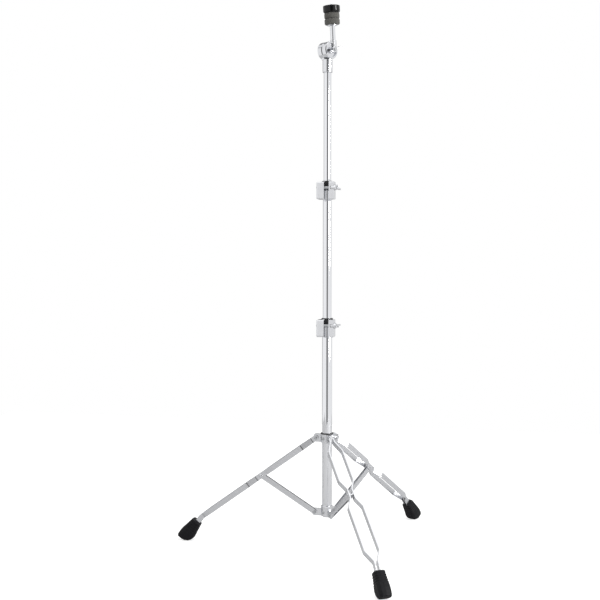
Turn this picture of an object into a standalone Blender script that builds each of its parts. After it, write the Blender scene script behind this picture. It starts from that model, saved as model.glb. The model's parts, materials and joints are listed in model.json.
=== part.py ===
# Straight cymbal stand: three telescoping tubes, two tube clamps, a tilter with
# the cymbal seat on top, and a folding tripod of double-strip legs and braces.
# Metres and degrees, +Z up, floor at z = 0. The left leg points along -X.

import math

import bmesh
import bpy
from mathutils import Matrix, Vector

# Fits
gap = 0.0003  # between pieces that touch, slide or turn on each other
overlap = 0.002  # how far joined shapes reach into each other
round_sides = 32
small_sides = 16

# Telescoping tubes
base_tube_diameter = 0.0254
base_tube_length = 0.487
base_tube_height = 0.087  # lower end above the floor
middle_tube_diameter = 0.0222
middle_tube_length = 0.470
middle_tube_shown = 0.300  # bare tube between the two clamps
upper_tube_diameter = 0.01905
upper_tube_length = 0.430
upper_tube_shown = 0.2705  # bare tube between the upper clamp and the tilter
upper_tube_wall = 0.0012
tube_plug_flange = 0.0022
tube_plug_depth = 0.014

# Tube clamps
clamp_height = 0.044
clamp_grip = 0.029  # length of the lower tube held in the clamp
clamp_sleeve_diameter = 0.0350
clamp_left_reach = 0.0239  # thick jaw, out to the left of the tube's axis
clamp_right_reach = 0.0214
clamp_front_reach = 0.0255
clamp_back_reach = 0.0100
clamp_slot_left = 0.0043  # slot faces, left and right of the tube's axis
clamp_slot_right = 0.0080
clamp_edge = 0.0035
clamp_bolt_drop = 0.0150  # bolt's axis below the top of the clamp
clamp_bolt_forward = 0.0190
clamp_bolt_diameter = 0.0060
clamp_bolt_head_diameter = 0.0115
clamp_bolt_head_depth = 0.0045
clamp_nut_wall = 0.0036  # jaw wall that the wing nut bears on
bush_flange = 0.0020
bush_flange_rim = 0.0018

# Wing nuts: hub diameter and length, then the reach, root, lift, width and thickness of a wing
clamp_wing = dict(
    hub=0.0140, length=0.0150, reach=0.0155, root=0.0090, lift=0.0170, width=0.0078, thick=0.0038
)
tilter_wing = dict(
    hub=0.0150, length=0.0150, reach=0.0200, root=0.0040, lift=0.0140, width=0.0090, thick=0.0042
)
collar_wing = dict(
    hub=0.0095, length=0.0070, reach=0.0110, root=0.0005, lift=0.0035, width=0.0058, thick=0.0030
)
# How far each wing is turned at rest, in degrees
lower_wing_turn = 4.0
upper_wing_turn = -16.0
tilter_wing_turn = 25.0
collar_wing_turn = 115.0

# Tripod: the legs and braces stand in vertical planes through the column
leg_azimuths = {"left": -90.0, "front": 30.0, "back": 150.0}  # from -Y towards +X
leg_slope = 36.0
leg_pivot_radius = 0.0280
leg_mid_station = 0.1776  # brace pivot, along the leg from its own pivot
leg_bend_station = 0.3780  # where the leg turns down into its foot
leg_strip_width = 0.0135
leg_strip_thickness = 0.0028
leg_spread = 0.0180  # half distance between the two strips of a leg
leg_pinch_collar = 0.0052
leg_pinch_mid = 0.0060
leg_pinch_foot = 0.0045
leg_fold_slope = 86.0
strip_fillet = 0.010
brace_pivot_radius = 0.0320
brace_pivot_rise = 0.0080  # above the lower end of the base tube
brace_strip_width = 0.0128
brace_strip_thickness = 0.0020
rivet_diameter = 0.0050
rivet_head_diameter = 0.0090
rivet_head_height = 0.0015

# Collars on the base tube
collar_wall = 0.0022
collar_liner_wall = 0.0011
collar_liner_flange = 0.0022
leg_collar_height = 0.0215
leg_lug_height = 0.0207
leg_lug_nose = 0.0062  # lug beyond its rivet
brace_collar_height = 0.0260
brace_lug_height = 0.0190
brace_lug_nose = 0.0060
collar_screw_azimuth = -30.0
collar_wing_azimuth = 90.0
collar_boss_diameter = 0.0110
collar_boss_reach = 0.0195
collar_wing_rise = 0.0030
collar_screw_diameter = 0.0060

# Rubber feet, in a frame whose X axis runs down the foot from the leg's bend
foot_slope = 53.3
foot_start = 0.0175
foot_straight = 0.0400
foot_top_depth = 0.0270
foot_sole_depth = 0.0405
foot_offset = 0.0027  # the foot's middle, outward of the leg's line
foot_top_width = 0.0280
foot_sole_width = 0.0330
foot_toe = 0.0215  # length of the rounded toe
foot_edge = 0.0040
foot_flare = 0.0006  # the outer side flares a little more than the inner side
foot_toe_flare = 0.0020
foot_toe_rise = 0.0010
foot_flat = 0.0008  # cut off flat where the rubber meets the floor
foot_grip = 0.0260  # length of strip held in the rubber
foot_ribs = 4
foot_rib_depth = 0.0008

# Tilter
tilter_azimuth = 55.75  # the tilter's axis, from -Y towards +X
tilter_radius = 0.0212
tilter_rear_depth = 0.0158
tilter_front_depth = 0.0147
tilter_rest_tilt = 4.5  # the cymbal rod leans this much at rest
tilter_socket_height = 0.0320
tilter_socket_wall = 0.0027
tilter_socket_roof = 0.0050
tilter_neck_width = 0.0215
tilter_neck_depth = 0.0100
tilter_rim = 0.0042
tilter_recess = 0.0040
tilter_bolt_diameter = 0.0080
tilter_bolt_head = 0.0036
tilter_ribs = 4
socket_screw_azimuth = -10.75  # small screw in the socket's wall, from the tilter's own front
socket_screw_rise = 0.0115  # above the socket's lower end
rod_offset = 0.0116  # the rod stands beside the tilter's axis
rod_forward = 0.0096
rod_boss_diameter = 0.0164
rod_boss_height = 0.0250

# Cymbal seat, heights along the rod from the tilter's axis
rod_diameter = 0.0127
rod_foot = 0.0105
rod_shoulder = 0.0597
rod_thread_diameter = 0.0064
rod_tip = 0.1142
washer_diameter = 0.0262
washer_thickness = 0.0020
sleeve_wall = 0.0018
felt_diameter = 0.0380
felt_thickness = 0.0141
felt_edge = 0.0022
nut_diameter = 0.0418
nut_height = 0.0172
nut_edge = 0.0016

# Sizes that follow from those above
base_tube_top = base_tube_height + base_tube_length
lower_clamp_z = base_tube_top - clamp_grip
lower_clamp_top = lower_clamp_z + clamp_height
upper_clamp_z = lower_clamp_top + middle_tube_shown
upper_clamp_top = upper_clamp_z + clamp_height
middle_tube_top = upper_clamp_z + clamp_grip
tilter_socket_z = upper_clamp_top + upper_tube_shown
tilter_z = tilter_socket_z + tilter_socket_height + tilter_radius + gap
upper_tube_top = tilter_socket_z + tilter_socket_height - tilter_socket_roof - gap
socket_screw_z = tilter_socket_z - tilter_z + socket_screw_rise
brace_pivot_z = base_tube_height + brace_pivot_rise
brace_pinch = leg_pinch_mid - (leg_strip_thickness + brace_strip_thickness) / 2 - gap


def azimuth_yaw(azimuth):
    """Turn about Z that brings +X to an azimuth counted from -Y towards +X."""
    return math.radians(azimuth - 90.0)


def foot_section(share):
    """One ring of a foot: station, low and high edge, half width. Share 0 to 1 is the body, 1 to 2 the toe."""
    body = min(share, 1.0)
    toe = math.radians(90.0 * max(share - 1.0, 0.0))
    depth = foot_top_depth + (foot_sole_depth - foot_top_depth) * body
    width = foot_top_width + (foot_sole_width - foot_top_width) * body
    middle = foot_offset + foot_flare * body
    low_drop = depth / 2 * math.cos(toe)
    station = foot_start + foot_straight * body + foot_toe * math.sin(toe)
    low = middle - low_drop + foot_toe_rise * math.sin(toe)
    high = middle + depth / 2 + foot_toe_flare * math.sin(toe) - foot_edge * (1 - math.cos(toe))
    return station, low, high, width / 2 - foot_edge * (1 - math.cos(toe))


def foot_drop():
    """Height of the leg's bend above the floor, from the foot's lowest point."""
    slope = math.radians(foot_slope)
    reach = 0.0
    for step in range(0, 41):
        station, low, _, _ = foot_section(step / 20)
        reach = max(reach, station * math.sin(slope) - low * math.cos(slope))
    return reach - foot_flat


leg_pivot_z = leg_bend_station * math.sin(math.radians(leg_slope)) + foot_drop()


def brace_line(slope):
    """Length and slope of a brace for a leg at this slope, and the leg pivot's height above the brace pivot."""
    out = leg_pivot_radius + leg_mid_station * math.cos(math.radians(slope)) - brace_pivot_radius
    if slope == leg_slope:
        rise = leg_pivot_z - leg_mid_station * math.sin(math.radians(slope)) - brace_pivot_z
        return math.hypot(out, rise), math.degrees(math.atan2(rise, out))
    length = brace_line(leg_slope)[0]
    return length, math.degrees(math.acos(out / length))


brace_length, brace_slope = brace_line(leg_slope)
brace_fold_slope = brace_line(leg_fold_slope)[1]
fold_travel = (
    brace_pivot_z
    + brace_length * math.sin(math.radians(brace_fold_slope))
    + leg_mid_station * math.sin(math.radians(leg_fold_slope))
    - leg_pivot_z
)


def clear_scene():
    for obj in list(bpy.data.objects):
        bpy.data.objects.remove(obj)
    for mesh in list(bpy.data.meshes):
        bpy.data.meshes.remove(mesh)


def finish_material(name, colour, roughness, metallic):
    material = bpy.data.materials.new(name)
    material.use_nodes = True
    shader = material.node_tree.nodes["Principled BSDF"]
    shader.inputs["Base Color"].default_value = (*colour, 1.0)
    shader.inputs["Roughness"].default_value = roughness
    shader.inputs["Metallic"].default_value = metallic
    material.diffuse_color = (*colour, 1.0)
    return material


def make_materials():
    return {
        "chrome tube": finish_material("chrome tube", (0.80, 0.81, 0.83), 0.08, 1.0),
        "chrome casting": finish_material("chrome casting", (0.76, 0.77, 0.79), 0.16, 1.0),
        "plated strip": finish_material("plated strip", (0.62, 0.63, 0.65), 0.24, 1.0),
        "steel": finish_material("steel", (0.55, 0.56, 0.58), 0.30, 1.0),
        "rubber": finish_material("rubber", (0.022, 0.022, 0.024), 0.55, 0.0),
        "black plastic": finish_material("black plastic", (0.012, 0.012, 0.013), 0.18, 0.0),
        "nylon": finish_material("nylon", (0.030, 0.030, 0.032), 0.42, 0.0),
        "felt": finish_material("felt", (0.115, 0.113, 0.108), 0.95, 0.0),
    }


def mesh_object(name, bm):
    """Object from a bmesh, with outward faces, smooth except at real edges."""
    bmesh.ops.recalc_face_normals(bm, faces=bm.faces)
    mesh = bpy.data.meshes.new(name)
    bm.to_mesh(mesh)
    bm.free()
    mesh.shade_smooth()
    mesh.set_sharp_from_angle(angle=math.radians(32))
    obj = bpy.data.objects.new(name, mesh)
    bpy.context.scene.collection.objects.link(obj)
    return obj


def moved(obj, matrix):
    """Bakes a move or turn into the mesh."""
    obj.data.transform(matrix)
    return obj


def combine(body, operation, *others):
    """Joins or cuts with each other shape, applies it, and removes that shape."""
    for other in others:
        modifier = body.modifiers.new(operation.title(), "BOOLEAN")
        modifier.operation = operation
        modifier.solver = "EXACT"
        modifier.object = other
        bpy.context.view_layer.objects.active = body
        bpy.ops.object.modifier_apply(modifier=modifier.name)
        bpy.data.objects.remove(other)
    body.data.shade_smooth()
    body.data.set_sharp_from_angle(angle=math.radians(32))
    return body


def join(body, *others):
    return combine(body, "UNION", *others)


def cut(body, *others):
    return combine(body, "DIFFERENCE", *others)


def place(obj, material, parent):
    obj.data.materials.clear()
    obj.data.materials.append(material)
    obj.parent = parent
    return obj


def joint_frame(name, parent, location, yaw=0.0, pitch=0.0):
    """Empty on a joint's axis: turned by yaw about Z, then by pitch about its own Y."""
    frame = bpy.data.objects.new(name, None)
    frame.empty_display_size = 0.02
    frame.location = location
    frame.rotation_euler = (0.0, pitch, yaw)
    frame.parent = parent
    bpy.context.scene.collection.objects.link(frame)
    return frame


def turned(name, profile, sides=round_sides, ring=False):
    """Turned solid about Z. The profile is a list of (radius, height); a ring's profile closes on itself."""
    bm = bmesh.new()
    verts = [bm.verts.new((radius, 0.0, height)) for radius, height in profile]
    edges = [bm.edges.new(pair) for pair in zip(verts, verts[1:])]
    if ring:
        edges.append(bm.edges.new((verts[-1], verts[0])))
    bmesh.ops.spin(
        bm, geom=verts + edges, cent=(0, 0, 0), axis=(0, 0, 1), angle=math.tau, steps=sides, use_merge=True
    )
    bmesh.ops.remove_doubles(bm, verts=bm.verts, dist=1e-6)
    return mesh_object(name, bm)


def rod_shape(name, radius, low, high, edge=0.0, sides=round_sides):
    """Cylinder along Z, with its two rims chamfered."""
    if edge == 0.0:
        return turned(name, [(0, low), (radius, low), (radius, high), (0, high)], sides)
    profile = [(0, low), (radius - edge, low), (radius, low + edge)]
    profile += [(radius, high - edge), (radius - edge, high), (0, high)]
    return turned(name, profile, sides)


def pipe(name, inner, outer, low, high, edge=0.0003, sides=round_sides):
    profile = [(inner, low), (outer - edge, low), (outer, low + edge), (outer, high - edge)]
    profile += [(outer - edge, high), (inner, high)]
    return turned(name, profile, sides, ring=True)


def along_x(obj):
    """Turns a shape made along Z to lie along +X."""
    return moved(obj, Matrix.Rotation(math.radians(90), 4, "Y"))


def along_front(obj):
    """Turns a shape made along Z to point along -Y."""
    return moved(obj, Matrix.Rotation(math.radians(90), 4, "X"))


def shift(obj, x=0.0, y=0.0, z=0.0):
    return moved(obj, Matrix.Translation((x, y, z)))


def swing(obj, azimuth):
    """Turns a shape made along -Y to an azimuth."""
    return moved(obj, Matrix.Rotation(math.radians(azimuth), 4, "Z"))


def rounded(points, radius, steps=3, closed=True):
    """The outline with its corners turned into arcs, each no larger than its sides allow."""
    points = [Vector(point) for point in points]
    count = len(points)
    result = []
    for index, corner in enumerate(points):
        if not closed and index in (0, count - 1):
            result.append(corner)
            continue
        before = points[index - 1] - corner
        after = points[(index + 1) % count] - corner
        turn = math.pi - before.angle(after)
        if turn < 1e-4:
            result.append(corner)
            continue
        trim = radius * math.tan(turn / 2)
        trim = min(trim, before.length * 0.48, after.length * 0.48)
        start = corner + before.normalized() * trim
        end = corner + after.normalized() * trim
        for step in range(steps + 1):
            share = step / steps
            near = start.lerp(corner, share)
            far = corner.lerp(end, share)
            result.append(near.lerp(far, share))
    return result


def extruded(name, outline, low, high):
    """Prism of a closed outline in XY, from low to high along Z."""
    bm = bmesh.new()
    face = bm.faces.new([bm.verts.new((x, y, low)) for x, y in outline])
    grown = bmesh.ops.extrude_face_region(bm, geom=[face])
    top = [item for item in grown["geom"] if isinstance(item, bmesh.types.BMVert)]
    bmesh.ops.translate(bm, verts=top, vec=(0, 0, high - low))
    return mesh_object(name, bm)


def block(name, low, high, edge=0.0, steps=2):
    """Box between two corners, with every edge rounded."""
    bm = bmesh.new()
    bmesh.ops.create_cube(bm, size=1.0)
    size = Vector(high) - Vector(low)
    middle = (Vector(high) + Vector(low)) / 2
    bmesh.ops.scale(bm, verts=bm.verts, vec=size)
    bmesh.ops.translate(bm, verts=bm.verts, vec=middle)
    if edge > 0.0:
        bmesh.ops.bevel(bm, geom=bm.edges, offset=edge, segments=steps, profile=0.5, affect="EDGES")
    return mesh_object(name, bm)


def side_lug(name, inner, pivot, nose, height, middle, thickness):
    """Flat lug in the XZ plane from the collar out past its rivet, with a rounded nose."""
    half = height / 2
    low, high, tip = middle - half, middle + half, pivot + nose
    outline = [(inner, low), (tip, low), (tip, high), (inner, high)]
    shape = extruded(name, rounded(outline, nose, 4), -thickness / 2, thickness / 2)
    return moved(shape, Matrix.Rotation(math.radians(90), 4, "X"))


def rivet(name, grip):
    """Rivet along Y with a low domed head past each end of its grip."""
    shank = rivet_diameter / 2
    head = rivet_head_diameter / 2
    face = grip / 2 + gap
    crown = face + rivet_head_height
    brow = crown - rivet_head_height * 0.4
    profile = [(0, -crown), (head * 0.55, -crown), (head * 0.9, -brow), (head, -face)]
    profile += [(shank, -face), (shank, face)]
    profile += [(head, face), (head * 0.9, brow), (head * 0.55, crown), (0, crown)]
    return along_front(turned(name, profile, small_sides))


def cross_hole(radius, x=0.0, z=0.0, reach=0.03):
    """Cutter along Y."""
    return shift(along_front(rod_shape("cutter", radius, -reach, reach, sides=small_sides)), x, 0.0, z)


def wing_shape(name, sizes, bore):
    """Wing nut along Z: a round hub with two wings swept up and outward."""
    hub = sizes["hub"] / 2
    edge = hub * 0.16
    body = rod_shape(name, hub, 0.0, sizes["length"], edge, 24)
    reach, root, lift, width = sizes["reach"], sizes["root"], sizes["lift"], sizes["width"]
    top, notch = lift + width, lift + width * 0.45
    outline = [(0, root), (reach, lift), (reach, top), (hub, notch)]
    outline += [(0, sizes["length"] - edge), (-hub, notch), (-reach, top), (-reach, lift)]
    half = sizes["thick"] / 2
    wings = extruded("wings", rounded(outline, width * 0.5, 4), -half, half)
    moved(wings, Matrix.Rotation(math.radians(90), 4, "X"))
    join(body, wings)
    if bore > 0.0:
        end = sizes["length"] + width + overlap
        cut(body, rod_shape("cutter", bore, -overlap, end, sides=small_sides))
    return body


def strip_path():
    """Centre line of a leg strip, (station, lateral), with its bends rounded."""
    end = leg_bend_station + foot_start + foot_grip
    rise = leg_spread - leg_pinch_collar
    points = [
        (-leg_strip_width / 2, leg_pinch_collar),
        (0.012, leg_pinch_collar),
        (0.012 + rise * 2.4, leg_spread),
        (leg_mid_station - 0.040, leg_spread),
        (leg_mid_station - 0.0145, leg_pinch_mid),
        (leg_mid_station + 0.0145, leg_pinch_mid),
        (leg_mid_station + 0.040, leg_spread),
        (leg_bend_station - 0.034, leg_spread),
        (leg_bend_station - 0.006, leg_pinch_foot),
        (end, leg_pinch_foot),
    ]
    return rounded(points, strip_fillet, 4, closed=False)


def bend_stations():
    """Where the bend down into the foot starts and ends, and its radius."""
    turn = math.radians(foot_slope - leg_slope)
    radius = 0.030
    start = leg_bend_station - radius * math.tan(turn / 2)
    return start, start + radius * turn, radius, turn


def with_stations(path, stations):
    """The path with a point added wherever it passes one of these stations."""
    result = [path[0]]
    for before, after in zip(path, path[1:]):
        for station in sorted(stations):
            if before.x + 1e-5 < station < after.x - 1e-5:
                share = (station - before.x) / (after.x - before.x)
                result.append(before.lerp(after, share))
        result.append(after)
    return result


def bend_down(obj):
    """Bends the far end of a leg strip down, in the leg's plane, into its foot."""
    start, end, radius, turn = bend_stations()
    for vertex in obj.data.vertices:
        station, lateral, height = vertex.co
        if station <= start:
            continue
        angle = min((station - start) / radius, turn)
        past = max(station - end, 0.0)
        along = Vector((math.cos(angle), 0.0, -math.sin(angle)))
        across = Vector((math.sin(angle), 0.0, math.cos(angle)))
        centre = Vector((start + radius * math.sin(angle), lateral, -radius * (1 - math.cos(angle))))
        vertex.co = centre + along * past + across * height
    return obj


def flat_bar(name, path, thickness, width):
    """Bar of even thickness that follows a path in XY, with round ends seen from the side."""
    bm = bmesh.new()
    rows = []
    for index, point in enumerate(path):
        before = path[max(index - 1, 0)]
        after = path[min(index + 1, len(path) - 1)]
        along = (after - before).normalized()
        across = Vector((-along.y, along.x)) * thickness / 2
        left, right = point + across, point - across
        corners = [(left, -width / 2), (right, -width / 2), (right, width / 2), (left, width / 2)]
        rows.append([bm.verts.new((spot.x, spot.y, height)) for spot, height in corners])
    for near, far in zip(rows, rows[1:]):
        for index in range(4):
            after = (index + 1) % 4
            bm.faces.new((near[index], near[after], far[after], far[index]))
    bm.faces.new(rows[0])
    bm.faces.new(rows[-1])
    first, last = path[0].x + 1e-5, path[-1].x - 1e-5
    ends = []
    for edge in bm.edges:
        a, b = (vertex.co for vertex in edge.verts)
        level = abs(a.z - b.z) < 1e-7
        if level and (max(a.x, b.x) < first or min(a.x, b.x) > last):
            ends.append(edge)
    bmesh.ops.bevel(bm, geom=ends, offset=width * 0.47, segments=5, profile=0.5, affect="EDGES")
    return mesh_object(name, bm)


def leg_strip(name, side, grow=0.0):
    """One strip of a leg: X down the leg, Y across it. Grow makes the cutter for its seat."""
    start, end, _, _ = bend_stations()
    path = with_stations(strip_path(), [start + (end - start) * step / 3 for step in range(4)])
    path = [Vector((point.x, point.y * side)) for point in path]
    if grow > 0.0:
        path[-1] = path[-1] + Vector((grow, 0.0))
    thickness = leg_strip_thickness + 2 * grow
    return bend_down(flat_bar(name, path, thickness, leg_strip_width + 2 * grow))


def pivot_head(side):
    """Round rivet head on the outside of a leg strip at the brace pivot."""
    face = leg_pinch_mid + leg_strip_thickness / 2
    head = rivet_head_diameter / 2
    crown = face + rivet_head_height
    profile = [(0, face - 0.0008), (head, face - 0.0008), (head, face + 0.0003)]
    profile += [(head * 0.85, crown - 0.0004), (head * 0.5, crown), (0, crown)]
    shape = turned("head", profile, small_sides)
    moved(shape, Matrix.Rotation(math.radians(-90 * side), 4, "X"))
    return shift(shape, leg_mid_station)


def section_ring(bm, station, low, high, half_width, points=16, squareness=3.4):
    """Ring of vertices around a foot, a circle drawn out towards a rounded rectangle."""
    middle, half_depth = (low + high) / 2, (high - low) / 2
    ring = []
    for index in range(points):
        angle = math.tau * index / points
        across, up = math.cos(angle), math.sin(angle)
        across = math.copysign(abs(across) ** (2 / squareness), across)
        up = math.copysign(abs(up) ** (2 / squareness), up)
        ring.append(bm.verts.new((station, half_width * across, middle + half_depth * up)))
    return ring


def foot_rings():
    """Stations of a foot: a rounded top, grip ribs, the flared body and the rounded toe."""
    station, low, high, half = foot_section(0.0)
    rings = [(station, low + 0.0015, high - 0.0015, half - 0.0015)]
    rings.append((station + 0.0015, low, high, half))
    for rib in range(foot_ribs):
        share = 0.14 + 0.15 * rib
        for part, depth in ((0.0, 0.0), (0.035, foot_rib_depth), (0.07, foot_rib_depth), (0.105, 0.0)):
            station, low, high, half = foot_section(share + part)
            rings.append((station, low + depth, high - depth, half - depth))
    for share in (1.0, 1.25, 1.5, 1.75, 2.0):
        rings.append(foot_section(share))
    return rings


def rubber_foot(name):
    """Foot in the leg's frame, sole cut flat on the floor and seats cut for both strips."""
    bm = bmesh.new()
    rings = [section_ring(bm, *ring) for ring in foot_rings()]
    for first, second in zip(rings, rings[1:]):
        for index in range(len(first)):
            after = (index + 1) % len(first)
            bm.faces.new((first[index], first[after], second[after], second[index]))
    bm.faces.new(rings[0])
    bm.faces.new(rings[-1])
    slope = math.radians(foot_slope)
    down = Vector((math.sin(slope), 0.0, -math.cos(slope)))
    everything = list(bm.verts) + list(bm.edges) + list(bm.faces)
    bmesh.ops.bisect_plane(bm, geom=everything, plane_co=down * foot_drop(), plane_no=down, clear_outer=True)
    rim = [edge for edge in bm.edges if edge.is_boundary]
    bmesh.ops.holes_fill(bm, edges=rim)
    foot = mesh_object(name, bm)
    moved(foot, Matrix.Rotation(math.radians(foot_slope - leg_slope), 4, "Y"))
    shift(foot, leg_bend_station)
    return cut(foot, leg_strip("cutter", 1, gap), leg_strip("cutter", -1, gap))


def make_leg(side_name, azimuth, collar, finish):
    yaw = azimuth_yaw(azimuth)
    turn = Matrix.Rotation(yaw, 4, "Z")
    pivot = turn @ Vector((leg_pivot_radius, 0.0, 0.0))
    leg = joint_frame(side_name + "_leg_hinge", collar, pivot, yaw, math.radians(leg_slope))
    for side, label in ((1, "a"), (-1, "b")):
        strip = leg_strip(f"{side_name}_leg_strip_{label}", side)
        join(strip, pivot_head(side))
        cut(strip, cross_hole(rivet_diameter / 2 + gap))
        place(strip, finish["plated strip"], leg)
    place(rubber_foot(side_name + "_rubber_foot"), finish["rubber"], leg)
    pin = rivet(side_name + "_leg_rivet", 2 * leg_pinch_collar + leg_strip_thickness)
    pin_seat = joint_frame(side_name + "_leg_rivet_seat", collar, pivot, yaw)
    place(pin, finish["steel"], pin_seat)


def brace_strip(name, side):
    half = brace_strip_width / 2
    path = [Vector((-half, brace_pinch * side)), Vector((brace_length + half, brace_pinch * side))]
    strip = flat_bar(name, path, brace_strip_thickness, brace_strip_width)
    hole = rivet_diameter / 2 + gap
    return cut(strip, cross_hole(hole), cross_hole(hole, brace_length))


def brace_sleeve(name):
    """Spacer between the two strips of a brace, with a stub in the hole of each."""
    inner = brace_pinch - brace_strip_thickness / 2 - gap
    outer = brace_pinch + brace_strip_thickness / 2
    disc, stub = rivet_head_diameter / 2, rivet_diameter / 2
    profile = [(0, -outer), (stub, -outer), (stub, -inner), (disc, -inner)]
    profile += [(disc, inner), (stub, inner), (stub, outer), (0, outer)]
    return shift(along_front(turned(name, profile, small_sides)), brace_length)


def make_brace(side_name, azimuth, stand, finish):
    yaw = azimuth_yaw(azimuth)
    pivot = Matrix.Rotation(yaw, 4, "Z") @ Vector((brace_pivot_radius, 0.0, 0.0))
    pivot.z = brace_pivot_z
    brace = joint_frame(side_name + "_brace_hinge", stand, pivot, yaw, -math.radians(brace_slope))
    for side, label in ((1, "a"), (-1, "b")):
        place(brace_strip(f"{side_name}_brace_strip_{label}", side), finish["plated strip"], brace)
    place(brace_sleeve(side_name + "_brace_sleeve"), finish["steel"], brace)
    pin_seat = joint_frame(side_name + "_brace_rivet_seat", stand, pivot, yaw)
    pin = rivet(side_name + "_brace_rivet", 2 * brace_pinch + brace_strip_thickness)
    place(pin, finish["steel"], pin_seat)


def lugged_collar(name, bore, wall, low, high, lug, boss=None):
    """Collar with a lug for each leg. Lug holds its pivot, nose, height, middle and thickness."""
    outer = bore + wall
    ring = rod_shape(name, outer, low, high, 0.0006)
    for azimuth in leg_azimuths.values():
        shape = side_lug("lug", bore / 2, lug["pivot"], lug["nose"], lug["height"], lug["middle"], lug["thick"])
        moved(shape, Matrix.Rotation(azimuth_yaw(azimuth), 4, "Z"))
        join(ring, shape)
    if boss:
        join(ring, boss)
    cut(ring, rod_shape("cutter", bore, low - overlap, high + overlap))
    for azimuth in leg_azimuths.values():
        hole = cross_hole(rivet_diameter / 2 + gap, lug["pivot"], lug["middle"], lug["thick"])
        cut(ring, moved(hole, Matrix.Rotation(azimuth_yaw(azimuth), 4, "Z")))
    return ring


def radial_screw(name, azimuth, height, inner, outer):
    """Round-headed screw set in a collar's wall, its axis pointing out at an azimuth."""
    shank, head = rivet_diameter / 2, rivet_head_diameter / 2 * 0.9
    face = outer + gap
    profile = [(0, inner), (shank, inner), (shank, face), (head, face), (head * 0.9, face + 0.0008)]
    profile += [(head * 0.5, face + rivet_head_height), (0, face + rivet_head_height)]
    return shift(swing(along_front(turned(name, profile, small_sides)), azimuth), z=height)


def radial_hole(radius, azimuth, height, inner, outer):
    cutter = along_front(rod_shape("cutter", radius, inner, outer, sides=small_sides))
    return shift(swing(cutter, azimuth), z=height)


def make_leg_collar(stand, finish):
    """Sliding collar that carries the legs, with its liner, wing screw and small screw."""
    collar = joint_frame("leg_collar_slide", stand, (0, 0, leg_pivot_z))
    tube = base_tube_diameter / 2
    liner_outer = tube + gap + collar_liner_wall
    bore = liner_outer + gap
    outer = bore + collar_wall
    low, high = -leg_collar_height / 2, leg_collar_height / 2
    boss = along_front(rod_shape("boss", collar_boss_diameter / 2, bore + 0.001, collar_boss_reach, 0.0005, 24))
    shift(swing(boss, collar_wing_azimuth), z=collar_wing_rise)
    thick = 2 * (leg_pinch_collar - leg_strip_thickness / 2 - gap)
    lug = dict(pivot=leg_pivot_radius, nose=leg_lug_nose, height=leg_lug_height, middle=0.0, thick=thick)
    body = lugged_collar("leg_collar", bore, collar_wall, low, high, lug, boss)
    screw_hole = collar_screw_diameter / 2 + gap
    stub_hole = rivet_diameter / 2 + gap
    past = collar_boss_reach + overlap
    cut(body, radial_hole(screw_hole, collar_wing_azimuth, collar_wing_rise, tube, past))
    cut(body, radial_hole(stub_hole, collar_screw_azimuth, 0.0, tube, outer + overlap))
    place(body, finish["chrome casting"], collar)

    flange = high + gap
    profile = [(tube + gap, low), (liner_outer, low), (liner_outer, flange), (outer - 0.0004, flange)]
    profile += [(outer, flange + 0.0005), (outer, flange + collar_liner_flange - 0.0005)]
    profile += [(outer - 0.0006, flange + collar_liner_flange), (tube + gap, flange + collar_liner_flange)]
    liner = turned("leg_collar_liner", profile, ring=True)
    cut(liner, radial_hole(screw_hole, collar_wing_azimuth, collar_wing_rise, tube - overlap, outer))
    place(liner, finish["nylon"], collar)
    small = radial_screw("leg_collar_screw", collar_screw_azimuth, 0.0, bore, outer)
    place(small, finish["steel"], collar)

    wing_yaw = azimuth_yaw(collar_wing_azimuth)
    wing_seat = joint_frame("leg_collar_wing_axis", collar, (0, 0, collar_wing_rise), wing_yaw)
    wing = wing_shape("leg_collar_wing_screw", collar_wing, 0.0)
    moved(wing, Matrix.Rotation(math.radians(collar_wing_turn), 4, "Z"))
    shift(wing, z=collar_boss_reach + gap)
    end = collar_boss_reach + overlap
    shank = rod_shape("shank", collar_screw_diameter / 2, tube + gap, end, 0.0005, small_sides)
    place(along_x(join(wing, shank)), finish["chrome casting"], wing_seat)
    return collar


def make_base(stand, finish):
    """Base tube with its plug, and the fixed collar that carries the braces."""
    outer = base_tube_diameter / 2
    inner = middle_tube_diameter / 2 + gap
    tube = pipe("base_tube", inner, outer, base_tube_height, base_tube_top)
    screw_z = base_tube_height + brace_collar_height * 0.36
    collar_bore = outer + gap
    collar_outer = collar_bore + collar_wall
    hole = rivet_diameter / 2 + gap
    cut(tube, radial_hole(hole, collar_screw_azimuth, screw_z, inner - overlap, outer + overlap))
    place(tube, finish["chrome tube"], stand)

    low = base_tube_height - gap
    profile = [(0, low - tube_plug_flange), (outer - 0.0008, low - tube_plug_flange), (outer, low - 0.0012)]
    profile += [(outer, low), (inner - gap, low), (inner - gap, low + tube_plug_depth - 0.001)]
    profile += [(inner - gap - 0.001, low + tube_plug_depth), (0, low + tube_plug_depth)]
    plug = turned("base_tube_plug", profile)
    cut(plug, radial_hole(hole, collar_screw_azimuth, screw_z, inner * 0.6, outer))
    place(plug, finish["nylon"], stand)

    thick = 2 * (brace_pinch - brace_strip_thickness / 2 - gap)
    lug = dict(
        pivot=brace_pivot_radius,
        nose=brace_lug_nose,
        height=brace_lug_height,
        middle=brace_pivot_z,
        thick=thick,
    )
    top = base_tube_height - 0.001 + brace_collar_height
    collar = lugged_collar("brace_collar", collar_bore, collar_wall, base_tube_height - 0.001, top, lug)
    cut(collar, radial_hole(hole, collar_screw_azimuth, screw_z, outer - overlap, collar_outer + overlap))
    place(collar, finish["chrome casting"], stand)
    pin = radial_screw("brace_collar_rivet", collar_screw_azimuth, screw_z, inner * 0.7, collar_outer)
    place(pin, finish["steel"], stand)


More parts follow.
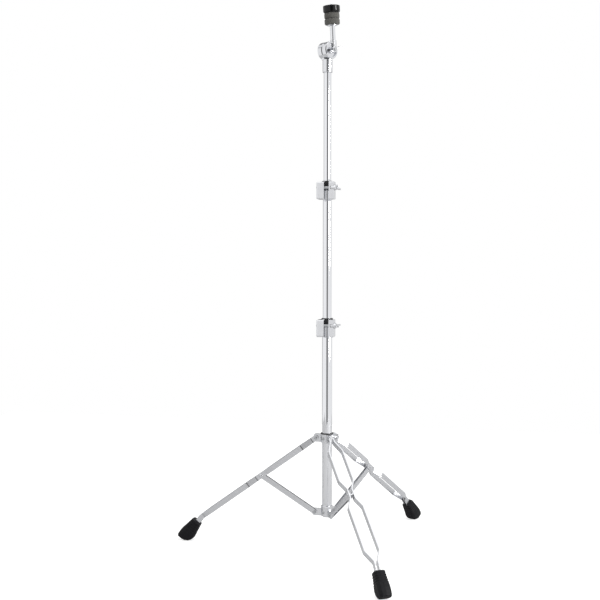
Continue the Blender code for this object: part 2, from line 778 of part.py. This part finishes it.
def clamp_body(name, outer_tube, inner_tube):
    """Cast clamp about Z: a sleeve and two jaws with an open slot at the front. Base at z = 0."""
    body = rod_shape(name, clamp_sleeve_diameter / 2, 0.0, clamp_height, 0.0012)
    bolt_z = clamp_height - clamp_bolt_drop
    front = -clamp_front_reach
    left = block("jaw", (-clamp_left_reach, front, 0), (0, clamp_back_reach, clamp_height - 0.001), clamp_edge, 3)
    right = block("jaw", (0, front, 0), (clamp_right_reach, 0, clamp_height), clamp_edge * 0.6, 2)
    join(body, left, right)
    bore = outer_tube / 2 + gap
    cut(body, rod_shape("cutter", bore, -overlap, clamp_height + overlap))
    slot_low = (-clamp_slot_left, front - overlap, -overlap)
    slot_high = (clamp_slot_right, 0.0, clamp_height + overlap)
    cut(body, block("cutter", slot_low, slot_high))
    wing_room = clamp_wing["hub"] / 2 + 0.0006
    seat = clamp_slot_right + clamp_nut_wall
    pocket = along_x(rod_shape("cutter", wing_room, seat, clamp_right_reach + overlap, sides=24))
    hole = along_x(rod_shape("cutter", clamp_bolt_diameter / 2 + gap, -0.05, 0.05, sides=small_sides))
    head = clamp_bolt_head_diameter / 2 + gap
    recess_depth = clamp_left_reach - clamp_bolt_head_depth - 2 * gap
    recess = along_x(rod_shape("cutter", head, -clamp_left_reach - overlap, -recess_depth, sides=small_sides))
    for cutter in (pocket, hole, recess):
        cut(body, shift(cutter, 0.0, -clamp_bolt_forward, bolt_z))
    return body


def clamp_bolt(name):
    """Bolt along X with a flat round head in the left jaw."""
    head_low = -clamp_left_reach + gap
    head_high = head_low + clamp_bolt_head_depth
    end = clamp_slot_right + clamp_nut_wall + clamp_wing["length"] + 0.0015
    head, shank = clamp_bolt_head_diameter / 2, clamp_bolt_diameter / 2
    profile = [(0, head_low), (head - 0.0006, head_low), (head, head_low + 0.0006), (head, head_high)]
    profile += [(shank, head_high), (shank, end - 0.0008), (shank - 0.0008, end), (0, end)]
    bolt = along_x(turned(name, profile, small_sides))
    return shift(bolt, 0.0, -clamp_bolt_forward, clamp_height - clamp_bolt_drop)


def clamp_bush(name, outer_tube, inner_tube):
    """Bush between the clamp and the sliding tube, standing on the end of the outer tube."""
    inner = inner_tube / 2 + gap
    outer = outer_tube / 2
    low = clamp_grip + gap
    top = clamp_height + gap
    rim = outer + bush_flange_rim
    profile = [(inner, low), (outer, low), (outer, top), (rim, top), (rim, top + bush_flange - 0.0006)]
    profile += [(rim - 0.0006, top + bush_flange), (inner, top + bush_flange)]
    return turned(name, profile, ring=True)


def make_clamp(label, height, outer_tube, inner_tube, wing_turn, carrier, finish):
    """Clamp on the end of one tube. Returns the frame that the sliding tube turns on."""
    seat = joint_frame(label + "_clamp_seat", carrier, (0, 0, height))
    place(clamp_body(label + "_clamp_body", outer_tube, inner_tube), finish["chrome casting"], seat)
    place(clamp_bolt(label + "_clamp_bolt"), finish["steel"], seat)
    bush_axis = joint_frame(label + "_clamp_bush_axis", seat, (0, 0, 0))
    place(clamp_bush(label + "_clamp_bush", outer_tube, inner_tube), finish["nylon"], bush_axis)
    bolt_z = clamp_height - clamp_bolt_drop
    start = clamp_slot_right + clamp_nut_wall + gap
    nut_axis = joint_frame(label + "_clamp_wing_axis", seat, (start, -clamp_bolt_forward, bolt_z))
    nut = wing_shape(label + "_clamp_wing_nut", clamp_wing, clamp_bolt_diameter / 2 + gap)
    moved(nut, Matrix.Rotation(math.radians(90 + wing_turn), 4, "Z"))
    place(along_x(nut), finish["chrome casting"], nut_axis)
    return bush_axis


def tilter_lower_half():
    """Rear disc of the tilter on its tube socket, about the pivot, whose axis is Y."""
    radius = tilter_radius
    body = rod_shape("tilter_lower_half", radius, -tilter_rear_depth, -gap / 2, 0.0014, 40)
    along_front(body)
    socket_low = tilter_socket_z - tilter_z
    socket_high = socket_low + tilter_socket_height
    outer = upper_tube_diameter / 2 + gap + tilter_socket_wall
    socket = rod_shape("socket", outer, socket_low, socket_high, 0.0008)
    neck_low = (-tilter_neck_width / 2, overlap / 2, socket_high - overlap)
    neck = block("neck", neck_low, (tilter_neck_width / 2, tilter_neck_depth, -tilter_bolt_diameter))
    join(body, socket, neck)
    for rib in range(tilter_ribs):
        depth = tilter_rear_depth * (0.16 + 0.21 * rib)
        low = Vector((-radius * 0.96 - 0.0006, depth, radius * 0.10))
        high = Vector((-radius * 0.80, depth + 0.0014, radius * 0.44))
        join(body, block("rib", low, high))
    bore = upper_tube_diameter / 2 + gap
    cut(body, rod_shape("cutter", bore, socket_low - overlap, upper_tube_top - tilter_z + gap))
    bolt = tilter_bolt_diameter / 2 + gap
    cut(body, along_front(rod_shape("cutter", bolt, -tilter_rear_depth - overlap, overlap, sides=small_sides)))
    screw_hole = radial_hole(
        rivet_diameter / 2 + gap, socket_screw_azimuth, socket_screw_z, upper_tube_diameter / 2, outer + overlap
    )
    return cut(body, screw_hole)


def tilter_upper_half():
    """Front disc with a rimmed face and the boss that holds the cymbal rod."""
    body = rod_shape("tilter_upper_half", tilter_radius, gap / 2, tilter_front_depth, 0.0014, 40)
    face = tilter_front_depth - tilter_recess
    recess = rod_shape("cutter", tilter_radius - tilter_rim, face, tilter_front_depth + overlap, sides=40)
    along_front(cut(body, recess))
    boss_low = tilter_wing["hub"] / 2 + 0.001
    boss = rod_shape("boss", rod_boss_diameter / 2, boss_low, rod_boss_height, 0.0012, 24)
    join(body, shift(boss, rod_offset, -rod_forward))
    bore = rod_diameter / 2 + gap
    socket = rod_shape("cutter", bore, rod_foot - gap, rod_boss_height + overlap, sides=24)
    cut(body, shift(socket, rod_offset, -rod_forward))
    bolt = tilter_bolt_diameter / 2 + gap
    return cut(body, along_front(rod_shape("cutter", bolt, -overlap, tilter_front_depth + overlap, sides=small_sides)))


def tilter_bolt():
    """Bolt along the tilter's axis with a hexagon head at the back."""
    shank = tilter_bolt_diameter / 2
    head_face = -tilter_rear_depth - gap
    end = tilter_front_depth - tilter_recess + tilter_wing["length"] + 0.002
    head = rod_shape("tilter_bolt", shank * 1.75, head_face - tilter_bolt_head, head_face, 0.0005, 6)
    rod = rod_shape("shank", shank, head_face - 0.001, end, 0.0008, small_sides)
    return along_front(join(head, rod))


def seat_pieces():
    """Cymbal rod and everything on it, along Z from the tilter's axis. Each is (name, material, shape)."""
    thread = rod_thread_diameter / 2
    rod = rod_diameter / 2
    profile = [(0, rod_foot), (rod, rod_foot), (rod, rod_shoulder - 0.0006), (rod - 0.0006, rod_shoulder)]
    profile += [(thread, rod_shoulder), (thread, rod_tip - 0.0012), (thread - 0.0010, rod_tip), (0, rod_tip)]
    pieces = [("cymbal_rod", "chrome tube", turned("cymbal_rod", profile, 24))]

    hole = thread + gap
    low = rod_shoulder + gap
    high = low + washer_thickness
    washer = pipe("cup_washer", hole, washer_diameter / 2, low, high, 0.0006)
    pieces.append(("cup_washer", "chrome casting", washer))

    sleeve_outer = hole + sleeve_wall
    low = high + gap
    felts_top = low + 2 * felt_thickness + gap
    sleeve = pipe("cymbal_sleeve", hole, sleeve_outer, low, felts_top - 0.001, 0.0003, 20)
    pieces.append(("cymbal_sleeve", "nylon", sleeve))

    for name in ("lower_felt", "upper_felt"):
        felt = pipe(name, sleeve_outer + gap, felt_diameter / 2, low, low + felt_thickness, felt_edge)
        pieces.append((name, "felt", felt))
        low += felt_thickness + gap
    return pieces, low


def top_nut(low):
    """Round hand nut with a rounded top and a narrower foot, threaded through."""
    outer = nut_diameter / 2
    high = low + nut_height
    inner = rod_thread_diameter / 2 + gap
    profile = [(inner, low), (outer - 0.0024, low), (outer - 0.0006, low + 0.0022), (outer, low + 0.0045)]
    profile += [(outer, high - nut_edge), (outer - nut_edge * 0.3, high - nut_edge * 0.3)]
    profile += [(outer - nut_edge, high), (inner, high)]
    return turned("top_nut", profile, 40, ring=True)


def make_tilter(tube_axis, finish):
    """Tilter and cymbal seat on the upper tube."""
    pivot = joint_frame("tilter_pivot", tube_axis, (0, 0, tilter_z), math.radians(tilter_azimuth))
    place(tilter_lower_half(), finish["chrome casting"], pivot)
    tube = upper_tube_diameter / 2
    wall = tube + gap + tilter_socket_wall
    shank = rivet_diameter / 2
    profile = [(0, tube + gap), (shank, tube + gap), (shank, wall - 0.0004), (0, wall - 0.0004)]
    screw = swing(along_front(turned("tilter_socket_screw", profile, small_sides)), socket_screw_azimuth)
    place(shift(screw, z=socket_screw_z), finish["steel"], pivot)
    place(tilter_bolt(), finish["steel"], pivot)
    nut_seat = tilter_front_depth - tilter_recess + gap
    wing_axis = joint_frame("tilter_wing_axis", pivot, (0, -nut_seat, 0))
    wing = wing_shape("tilter_wing_nut", tilter_wing, tilter_bolt_diameter / 2 + gap)
    moved(wing, Matrix.Rotation(math.radians(tilter_wing_turn), 4, "Z"))
    place(along_front(wing), finish["chrome casting"], wing_axis)

    tilt = joint_frame("tilter_tilt", pivot, (0, 0, 0), 0.0, math.radians(-tilter_rest_tilt))
    place(tilter_upper_half(), finish["chrome casting"], tilt)
    rod_axis = joint_frame("cymbal_rod_axis", tilt, (rod_offset, -rod_forward, 0))
    pieces, top = seat_pieces()
    for _, material, shape in pieces:
        place(shape, finish[material], rod_axis)
    place(top_nut(top), finish["black plastic"], rod_axis)


def make_column(stand, finish):
    """The two sliding tubes with their clamps, and the tilter on top."""
    tubes = (base_tube_diameter, middle_tube_diameter)
    middle_axis = make_clamp("lower", lower_clamp_z, *tubes, lower_wing_turn, stand, finish)
    offset = (0, 0, -lower_clamp_z)
    middle = joint_frame("middle_tube_slide", middle_axis, offset)
    inner = upper_tube_diameter / 2 + gap
    tube = pipe("middle_tube", inner, middle_tube_diameter / 2, middle_tube_top - middle_tube_length, middle_tube_top)
    place(tube, finish["chrome tube"], middle)

    tubes = (middle_tube_diameter, upper_tube_diameter)
    upper_axis = make_clamp("upper", upper_clamp_z, *tubes, upper_wing_turn, middle, finish)
    upper = joint_frame("upper_tube_slide", upper_axis, (0, 0, -upper_clamp_z))
    outer = upper_tube_diameter / 2
    tube = pipe("upper_tube", outer - upper_tube_wall, outer, upper_tube_top - upper_tube_length, upper_tube_top)
    place(tube, finish["chrome tube"], upper)
    make_tilter(upper, finish)


def centre_on_feet(stand):
    """Moves the whole stand so that the middle of its feet's box is over the origin."""
    bpy.context.view_layer.update()
    xs, ys = [], []
    for obj in bpy.data.objects:
        if obj.name.endswith("rubber_foot"):
            points = [obj.matrix_world @ vertex.co for vertex in obj.data.vertices]
            xs += [point.x for point in points]
            ys += [point.y for point in points]
    stand.location = (-(min(xs) + max(xs)) / 2, -(min(ys) + max(ys)) / 2, 0.0)
    bpy.context.view_layer.update()


def print_places(stand):
    """Prints each joint's place and axes in millimetres, and the tripod's lengths and limits."""
    for obj in bpy.data.objects:
        if obj.type == "EMPTY":
            matrix = obj.matrix_world
            place_mm = [round(value * 1000, 3) for value in matrix.translation]
            axes = [[round(matrix[row][column], 5) for row in range(3)] for column in range(3)]
            print("frame", obj.name, place_mm, "x", axes[0], "y", axes[1], "z", axes[2])
    print("brace length", round(brace_length * 1000, 2), "slope", round(brace_slope, 3))
    print("fold travel", round(fold_travel * 1000, 2), "leg", leg_fold_slope - leg_slope)
    print("brace", round(brace_fold_slope - brace_slope, 3), "leg pivot height", round(leg_pivot_z * 1000, 2))


def main():
    clear_scene()
    finish = make_materials()
    stand = joint_frame("stand", None, (0, 0, 0))
    make_base(stand, finish)
    collar = make_leg_collar(stand, finish)
    for side_name, azimuth in leg_azimuths.items():
        make_leg(side_name, azimuth, collar, finish)
        make_brace(side_name, azimuth, stand, finish)
    make_column(stand, finish)
    centre_on_feet(stand)
    print_places(stand)


main()
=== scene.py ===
# Looks of the straight cymbal stand: finishes, round tubes, felts, floor, light and camera.
# The CAD solids keep their shape. The three tubes and the two felts are modelled again here.

import json
import math

import bpy
from mathutils import Matrix, Vector


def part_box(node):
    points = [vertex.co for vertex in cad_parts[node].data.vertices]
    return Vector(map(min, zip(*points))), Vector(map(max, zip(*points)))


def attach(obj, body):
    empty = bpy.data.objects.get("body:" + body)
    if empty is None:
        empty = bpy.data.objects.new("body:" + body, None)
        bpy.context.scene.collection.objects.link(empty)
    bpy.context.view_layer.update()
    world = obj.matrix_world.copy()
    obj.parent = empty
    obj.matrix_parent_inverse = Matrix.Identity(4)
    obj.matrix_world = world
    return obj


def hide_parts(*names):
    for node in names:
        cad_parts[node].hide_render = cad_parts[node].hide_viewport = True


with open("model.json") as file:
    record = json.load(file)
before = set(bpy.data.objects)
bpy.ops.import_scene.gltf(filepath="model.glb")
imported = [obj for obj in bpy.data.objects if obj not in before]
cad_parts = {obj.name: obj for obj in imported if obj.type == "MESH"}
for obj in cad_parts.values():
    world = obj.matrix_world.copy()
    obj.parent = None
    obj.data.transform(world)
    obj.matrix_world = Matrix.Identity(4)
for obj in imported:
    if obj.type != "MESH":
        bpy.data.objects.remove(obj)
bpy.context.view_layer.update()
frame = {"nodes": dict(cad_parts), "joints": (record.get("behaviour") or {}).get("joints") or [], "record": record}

print("stage: frame loaded")

photoTurn = 10.75  # degrees round the stand, from straight in front of it to where the camera stood


# Small helpers

def hexColor(text):
    channels = [int(text[place:place + 2], 16) / 255 for place in (1, 3, 5)]
    linear = [value / 12.92 if value <= 0.04045 else ((value + 0.055) / 1.055) ** 2.4 for value in channels]
    return (linear[0], linear[1], linear[2], 1.0)


def greyColor(brightness):
    return (brightness, brightness, brightness, 1.0)


def addNode(tree, kind, inputs=None, **settings):
    # Each input is either a fixed value or the output that it is linked to
    node = tree.nodes.new(kind)
    for name, value in settings.items():
        setattr(node, name, value)
    for place, source in (inputs or {}).items():
        if isinstance(source, bpy.types.NodeSocket):
            tree.links.new(source, node.inputs[place])
        else:
            node.inputs[place].default_value = source
    return node


def fillRamp(node, stops):
    elements = node.color_ramp.elements
    while len(elements) > 1:
        elements.remove(elements[-1])
    elements[0].position = stops[0][0]
    elements[0].color = stops[0][1]
    for position, color in stops[1:]:
        elements.new(position).color = color


def newMaterial(name, color, metallic, roughness):
    material = bpy.data.materials.new(name)
    material.use_nodes = True
    shader = material.node_tree.nodes["Principled BSDF"]
    shader.inputs["Base Color"].default_value = hexColor(color)
    shader.inputs["Metallic"].default_value = metallic
    shader.inputs["Roughness"].default_value = roughness
    return material, material.node_tree, shader


def surfaceGrain(tree, values):
    # A pattern on the object's own coordinates; grain is its real size in millimetres
    place = addNode(tree, "ShaderNodeTexCoord")
    stretch = values.get("stretch", (1.0, 1.0, 1.0))
    mapping = addNode(tree, "ShaderNodeMapping", {"Vector": place.outputs["Object"], "Scale": stretch})
    noise = addNode(tree, "ShaderNodeTexNoise", {
        "Vector": mapping.outputs["Vector"], "Scale": 1000.0 / values["grain"], "Detail": values["detail"],
    })
    return noise.outputs["Fac"]


def grainRoughness(tree, shader, grain, values):
    spread = addNode(tree, "ShaderNodeMapRange", {
        "Value": grain, "To Min": values["roughness"], "To Max": values["roughest"],
    })
    tree.links.new(spread.outputs["Result"], shader.inputs["Roughness"])


def grainColor(tree, shader, grain, values):
    shades = addNode(tree, "ShaderNodeValToRGB", {"Fac": grain})
    fillRamp(shades, [
        (values["darkEnd"], hexColor(values["dark"])),
        (values["lightEnd"], hexColor(values["light"])),
    ])
    tree.links.new(shades.outputs["Color"], shader.inputs["Base Color"])


def grainBump(tree, shader, grain, values):
    bump = addNode(tree, "ShaderNodeBump", {
        "Height": grain, "Strength": values["bump"], "Distance": values["depth"],
    })
    tree.links.new(bump.outputs["Normal"], shader.inputs["Normal"])


# Finishes. Each value can be changed here without touching the shapes.
# Grain is in millimetres and depth in metres. The real surfaces have a finer grain than the render can show,
# so each pattern is drawn as coarse as it needs to be to show.

tubeFinish = {
    "color": "#e6e7ea", "roughness": 0.055, "roughest": 0.07,
    "grain": 111.1, "detail": 3.0, "stretch": (1.0, 1.0, 0.05),
}


def makeChromeTube():
    # Polished chrome plating on drawn steel tube: a clean mirror that the room's bands run down
    values = tubeFinish
    material, tree, shader = newMaterial("polished chrome tube", values["color"], 1.0, values["roughness"])
    grainRoughness(tree, shader, surfaceGrain(tree, values), values)
    return material


castingFinish = {
    "color": "#dcdde0", "roughness": 0.10, "roughest": 0.20,
    "grain": 7.143, "detail": 4.0, "bump": 0.06, "depth": 0.0003,
}


def makeChromeCasting():
    # Chrome plating over a die casting: bright, but a little softer and less even than the tubes
    values = castingFinish
    material, tree, shader = newMaterial("chrome plated casting", values["color"], 1.0, values["roughness"])
    grain = surfaceGrain(tree, values)
    grainRoughness(tree, shader, grain, values)
    grainBump(tree, shader, grain, values)
    return material


stripFinish = {
    "color": "#d4d5d8", "roughness": 0.16, "roughest": 0.30,
    "grain": 4.545, "detail": 3.0, "bump": 0.05, "depth": 0.0002,
}


def makePlatedStrip():
    # Bright plating on rolled steel strip: a soft shine that blurs what it reflects
    values = stripFinish
    material, tree, shader = newMaterial(
        "bright plated steel strip", values["color"], 1.0, values["roughness"]
    )
    grain = surfaceGrain(tree, values)
    grainRoughness(tree, shader, grain, values)
    grainBump(tree, shader, grain, values)
    return material


steelFinish = {
    "color": "#b4b6b8", "roughness": 0.24, "roughest": 0.38,
    "grain": 3.846, "detail": 3.0, "bump": 0.05, "depth": 0.0002,
}


def makeSteel():
    # Zinc plating on the rivets, bolts and screws: greyer and duller than the chrome
    values = steelFinish
    material, tree, shader = newMaterial("zinc plated steel", values["color"], 1.0, values["roughness"])
    grain = surfaceGrain(tree, values)
    grainRoughness(tree, shader, grain, values)
    grainBump(tree, shader, grain, values)
    return material


rubberFinish = {
    "dark": "#121214", "light": "#1a1a1d", "darkEnd": 0.35, "lightEnd": 0.65,
    "roughness": 0.50, "shine": 0.12, "grain": 2.381, "detail": 5.0, "bump": 0.25, "depth": 0.0003,
}


def makeRubber():
    # Moulded rubber: matt near-black with hardly a highlight
    values = rubberFinish
    material, tree, shader = newMaterial("moulded rubber", values["dark"], 0.0, values["roughness"])
    shader.inputs["Specular IOR Level"].default_value = values["shine"]
    grain = surfaceGrain(tree, values)
    grainColor(tree, shader, grain, values)
    grainBump(tree, shader, grain, values)
    return material


knobFinish = {
    "color": "#060607", "roughness": 0.12, "roughest": 0.18, "shine": 0.30,
    "grain": 11.11, "detail": 2.0,
}


def makeKnobPlastic():
    # Glossy moulded plastic of the hand nut: black with a sharp highlight
    values = knobFinish
    material, tree, shader = newMaterial("glossy black plastic", values["color"], 0.0, values["roughness"])
    shader.inputs["Specular IOR Level"].default_value = values["shine"]
    grainRoughness(tree, shader, surfaceGrain(tree, values), values)
    return material


nylonFinish = {
    "dark": "#1c1c1e", "light": "#242426", "darkEnd": 0.35, "lightEnd": 0.65,
    "roughness": 0.38, "grain": 3.333, "detail": 4.0, "bump": 0.08, "depth": 0.0002,
}


def makeNylon():
    # Moulded nylon of the bushes, the liner, the sleeve and the plug: satin black
    values = nylonFinish
    material, tree, shader = newMaterial("satin nylon", values["dark"], 0.0, values["roughness"])
    grain = surfaceGrain(tree, values)
    grainColor(tree, shader, grain, values)
    grainBump(tree, shader, grain, values)
    return material


feltFinish = {
    "dark": "#3e3d3a", "light": "#5c5b57", "darkEnd": 0.35, "lightEnd": 0.65,
    "roughness": 0.95, "sheen": 0.15, "grain": 1.111, "detail": 8.0, "bump": 0.9, "depth": 0.0006,
}


def makeFelt():
    # Pressed wool felt: flecked grey fibres with no shine
    values = feltFinish
    material, tree, shader = newMaterial("pressed wool felt", values["dark"], 0.0, values["roughness"])
    shader.inputs["Sheen Weight"].default_value = values["sheen"]
    grain = surfaceGrain(tree, values)
    grainColor(tree, shader, grain, values)
    grainBump(tree, shader, grain, values)
    return material


finishes = {
    "chrome_tube": makeChromeTube(),
    "chrome_casting": makeChromeCasting(),
    "plated_strip": makePlatedStrip(),
    "steel": makeSteel(),
    "rubber": makeRubber(),
    "black_plastic": makeKnobPlastic(),
    "nylon": makeNylon(),
    "felt": makeFelt(),
}

for entry in frame["record"]["subparts"]:
    solid = frame["nodes"][entry["node"]]
    for place in solid.material_slots:
        place.material = finishes[entry["material_slot"]]
print("stage: finishes given to the solids")


# Tubes: truly round ones take the place of the faceted solids, so that the room runs down them evenly

tubeShape = {"sides": 128, "rim": 0.0004, "rimSteps": 2, "sharpAngle": 60, "smoothAngle": 30}
tubeWalls = {"base_tube": 0.0013, "middle_tube": 0.00127, "upper_tube": 0.0012}
tubeBodies = {"base_tube": "base", "middle_tube": "middle", "upper_tube": "upper"}


def makeRoundTube(node):
    low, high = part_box(node)
    centre = (low + high) / 2
    radius = (high.x - low.x) / 2
    bpy.ops.object.select_all(action="DESELECT")
    bpy.ops.mesh.primitive_cylinder_add(
        vertices=tubeShape["sides"], radius=radius, depth=high.z - low.z, end_fill_type="NOTHING"
    )
    tube = bpy.context.object
    tube.name = "round" + node.title().replace("_", "")
    wall = tube.modifiers.new("wall", "SOLIDIFY")
    wall.thickness = tubeWalls[node]
    wall.offset = -1.0
    bpy.ops.object.modifier_apply(modifier=wall.name)
    rim = tube.modifiers.new("rim", "BEVEL")
    rim.width = tubeShape["rim"]
    rim.segments = tubeShape["rimSteps"]
    rim.limit_method = "ANGLE"
    rim.angle_limit = math.radians(tubeShape["sharpAngle"])
    bpy.ops.object.modifier_apply(modifier=rim.name)
    tube.data.transform(Matrix.Translation(centre))
    bpy.ops.object.shade_smooth_by_angle(angle=math.radians(tubeShape["smoothAngle"]))
    tube.data.materials.clear()
    tube.data.materials.append(finishes["chrome_tube"])
    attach(tube, tubeBodies[node])
    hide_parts(node)


for node in tubeWalls:
    makeRoundTube(node)
print("stage: tubes made round")


# Felts: two soft pressed washers round the rod's sleeve, which take the place of the plain solids

feltShape = {
    "radius": 0.0187, "thickness": 0.0138, "hole": 0.0057, "edge": 0.0030, "bulge": 0.0003,
    "sides": 96, "holeSides": 64, "edgeSteps": 8, "rimShare": 0.9, "sharpAngle": 60, "smoothAngle": 40,
}


def makeFeltWasher(name, node):
    low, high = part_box(node)
    centre = (low + high) / 2
    rodAxis = next(joint for joint in frame["joints"] if joint["name"] == "top_nut_turn")["axis"]
    tilt = Vector((0, 0, 1)).rotation_difference(Vector(rodAxis)).to_matrix().to_4x4()
    radius, thickness = feltShape["radius"], feltShape["thickness"]
    bpy.ops.object.select_all(action="DESELECT")
    bpy.ops.mesh.primitive_cylinder_add(vertices=feltShape["sides"], radius=radius, depth=thickness)
    felt = bpy.context.object
    felt.name = name
    bpy.ops.mesh.primitive_cylinder_add(
        vertices=feltShape["holeSides"], radius=feltShape["hole"], depth=thickness * 2
    )
    hole = bpy.context.object
    bpy.context.view_layer.objects.active = felt
    opening = felt.modifiers.new("hole", "BOOLEAN")
    opening.operation = "DIFFERENCE"
    opening.object = hole
    bpy.ops.object.modifier_apply(modifier=opening.name)
    bpy.data.objects.remove(hole)
    soft = felt.modifiers.new("soft edge", "BEVEL")
    soft.width = feltShape["edge"]
    soft.segments = feltShape["edgeSteps"]
    soft.limit_method = "ANGLE"
    soft.angle_limit = math.radians(feltShape["sharpAngle"])
    bpy.ops.object.modifier_apply(modifier=soft.name)
    # The pressed middle stands out a little between the rims
    for vertex in felt.data.vertices:
        reach = math.hypot(vertex.co.x, vertex.co.y)
        if reach > radius * feltShape["rimShare"]:
            level = 1.0 - min(abs(vertex.co.z) / (thickness / 2), 1.0) ** 2
            vertex.co.x *= 1.0 + feltShape["bulge"] * level / reach
            vertex.co.y *= 1.0 + feltShape["bulge"] * level / reach
    felt.data.transform(Matrix.Translation(centre) @ tilt)
    bpy.ops.object.select_all(action="DESELECT")
    felt.select_set(True)
    bpy.context.view_layer.objects.active = felt
    bpy.ops.object.shade_smooth_by_angle(angle=math.radians(feltShape["smoothAngle"]))
    felt.data.materials.clear()
    felt.data.materials.append(finishes["felt"])
    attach(felt, "seat")
    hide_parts(node)


makeFeltWasher("lowerFeltWasher", "lower_felt")
makeFeltWasher("upperFeltWasher", "upper_felt")
print("stage: felts made")


# Floor: pale and plain, as far as the picture shows it; past its edge the room is as white

floorShape = {"size": 3.4, "drop": 0.0005, "color": "#cdcdcd", "roughness": 0.9, "lift": 0.62}


def makeFloor():
    bpy.ops.object.select_all(action="DESELECT")
    bpy.ops.mesh.primitive_plane_add(size=floorShape["size"], location=(0, 0, -floorShape["drop"]))
    floor = bpy.context.object
    floor.name = "paleFloor"
    bpy.ops.object.transform_apply(location=True, rotation=True, scale=True)
    # Pale painted studio floor: evenly matt, with no highlight
    material, tree, shader = newMaterial(
        "pale studio floor", floorShape["color"], 0.0, floorShape["roughness"]
    )
    shader.inputs["Specular IOR Level"].default_value = 0.0
    shader.inputs["Emission Color"].default_value = greyColor(1.0)
    # Only the camera sees the floor lifted towards white, so its shadows stay
    seen = addNode(tree, "ShaderNodeLightPath")
    lift = addNode(
        tree, "ShaderNodeMath", {0: seen.outputs["Is Camera Ray"], 1: floorShape["lift"]},
        operation="MULTIPLY",
    )
    tree.links.new(lift.outputs["Value"], shader.inputs["Emission Strength"])
    floor.data.materials.append(material)


makeFloor()
print("stage: floor laid")


# Light: a bright room whose darker bands run round the stand, as a metal surface sees them

room = {
    "turn": photoTurn, "strength": 1.0, "white": 1.0,
    # Share of a turn from the camera's far side, and brightness; 0.5 is the camera's own direction
    "bands": [
        (0.00, 0.26),
        (0.10, 0.34),
        (0.16, 0.98),
        (0.30, 1.05),
        (0.448, 0.98),
        (0.460, 0.12),
        (0.530, 0.11),
        (0.548, 0.94),
        (0.66, 1.00),
        (0.88, 0.92),
        (1.00, 0.70),
    ],
}


def makeRoom():
    world = bpy.data.worlds.new("bright studio room")
    bpy.context.scene.world = world
    world.use_nodes = True
    tree = world.node_tree
    tree.nodes.clear()
    place = addNode(tree, "ShaderNodeTexCoord")
    split = addNode(tree, "ShaderNodeSeparateXYZ", {"Vector": place.outputs["Generated"]})
    front = addNode(tree, "ShaderNodeMath", {0: split.outputs["Y"], 1: -1.0}, operation="MULTIPLY")
    angle = addNode(
        tree, "ShaderNodeMath", {0: split.outputs["X"], 1: front.outputs["Value"]}, operation="ARCTAN2"
    )
    share = addNode(
        tree, "ShaderNodeMath", {0: angle.outputs["Value"], 1: 1.0 / math.tau, 2: 0.5 - room["turn"] / 360.0},
        operation="MULTIPLY_ADD",
    )
    wrap = addNode(tree, "ShaderNodeMath", {0: share.outputs["Value"], 1: 1.0, 2: 0.0}, operation="WRAP")
    shades = addNode(tree, "ShaderNodeValToRGB", {"Fac": wrap.outputs["Value"]})
    fillRamp(shades, [(position, greyColor(brightness)) for position, brightness in room["bands"]])
    bands = addNode(tree, "ShaderNodeBackground", {
        "Color": shades.outputs["Color"], "Strength": room["strength"],
    })
    white = addNode(tree, "ShaderNodeBackground", {"Color": greyColor(1.0), "Strength": room["white"]})
    # The camera sees plain white, and only the metal sees the bands
    seen = addNode(tree, "ShaderNodeLightPath")
    choice = addNode(tree, "ShaderNodeMixShader", {
        "Fac": seen.outputs["Is Camera Ray"], 1: bands.outputs["Background"], 2: white.outputs["Background"],
    })
    addNode(tree, "ShaderNodeOutputWorld", {"Surface": choice.outputs["Shader"]})


topLight = {"place": (0.0, -0.6, 4.2), "aim": (0.0, 0.0, 0.0), "size": (5.0, 5.0), "energy": 45.0}
rightLight = {"place": (2.52, -0.94, 1.5), "aim": (0.1, 0.0, 1.3), "size": (0.36, 1.4), "energy": 55.0}


def addSoftLight(name, values):
    lamp = bpy.data.lights.new(name, "AREA")
    lamp.shape = "RECTANGLE"
    lamp.size = values["size"][0]
    lamp.size_y = values["size"][1]
    lamp.energy = values["energy"]
    holder = bpy.data.objects.new(name, lamp)
    bpy.context.scene.collection.objects.link(holder)
    holder.location = values["place"]
    direction = Vector(values["aim"]) - Vector(values["place"])
    holder.rotation_euler = direction.to_track_quat("-Z", "Y").to_euler()


makeRoom()
addSoftLight("topLight", topLight)
addSoftLight("rightLight", rightLight)
print("stage: light set")


# Camera: where the photograph was taken from, fitted to the feet and the column

cameraPlace = {
    "azimuth": photoTurn, "distance": 2.5, "height": 0.7836,
    "down": 3.356, "left": 1.574, "lens": 59.60, "sensor": 36.0,
}


def makeCamera():
    low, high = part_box("base_tube")
    column = (low + high) / 2
    around = math.radians(cameraPlace["azimuth"])
    lens = bpy.data.cameras.new("photoCamera")
    lens.lens = cameraPlace["lens"]
    lens.sensor_width = cameraPlace["sensor"]
    camera = bpy.data.objects.new("photoCamera", lens)
    bpy.context.scene.collection.objects.link(camera)
    reach = cameraPlace["distance"]
    camera.location = (
        column.x + reach * math.sin(around),
        column.y - reach * math.cos(around),
        cameraPlace["height"],
    )
    pitch = math.radians(90.0 - cameraPlace["down"])
    turn = math.radians(cameraPlace["azimuth"] + cameraPlace["left"])
    camera.rotation_euler = (pitch, 0.0, turn)
    bpy.context.scene.camera = camera


makeCamera()
bpy.context.scene.view_settings.view_transform = "Standard"
print("stage: camera set")
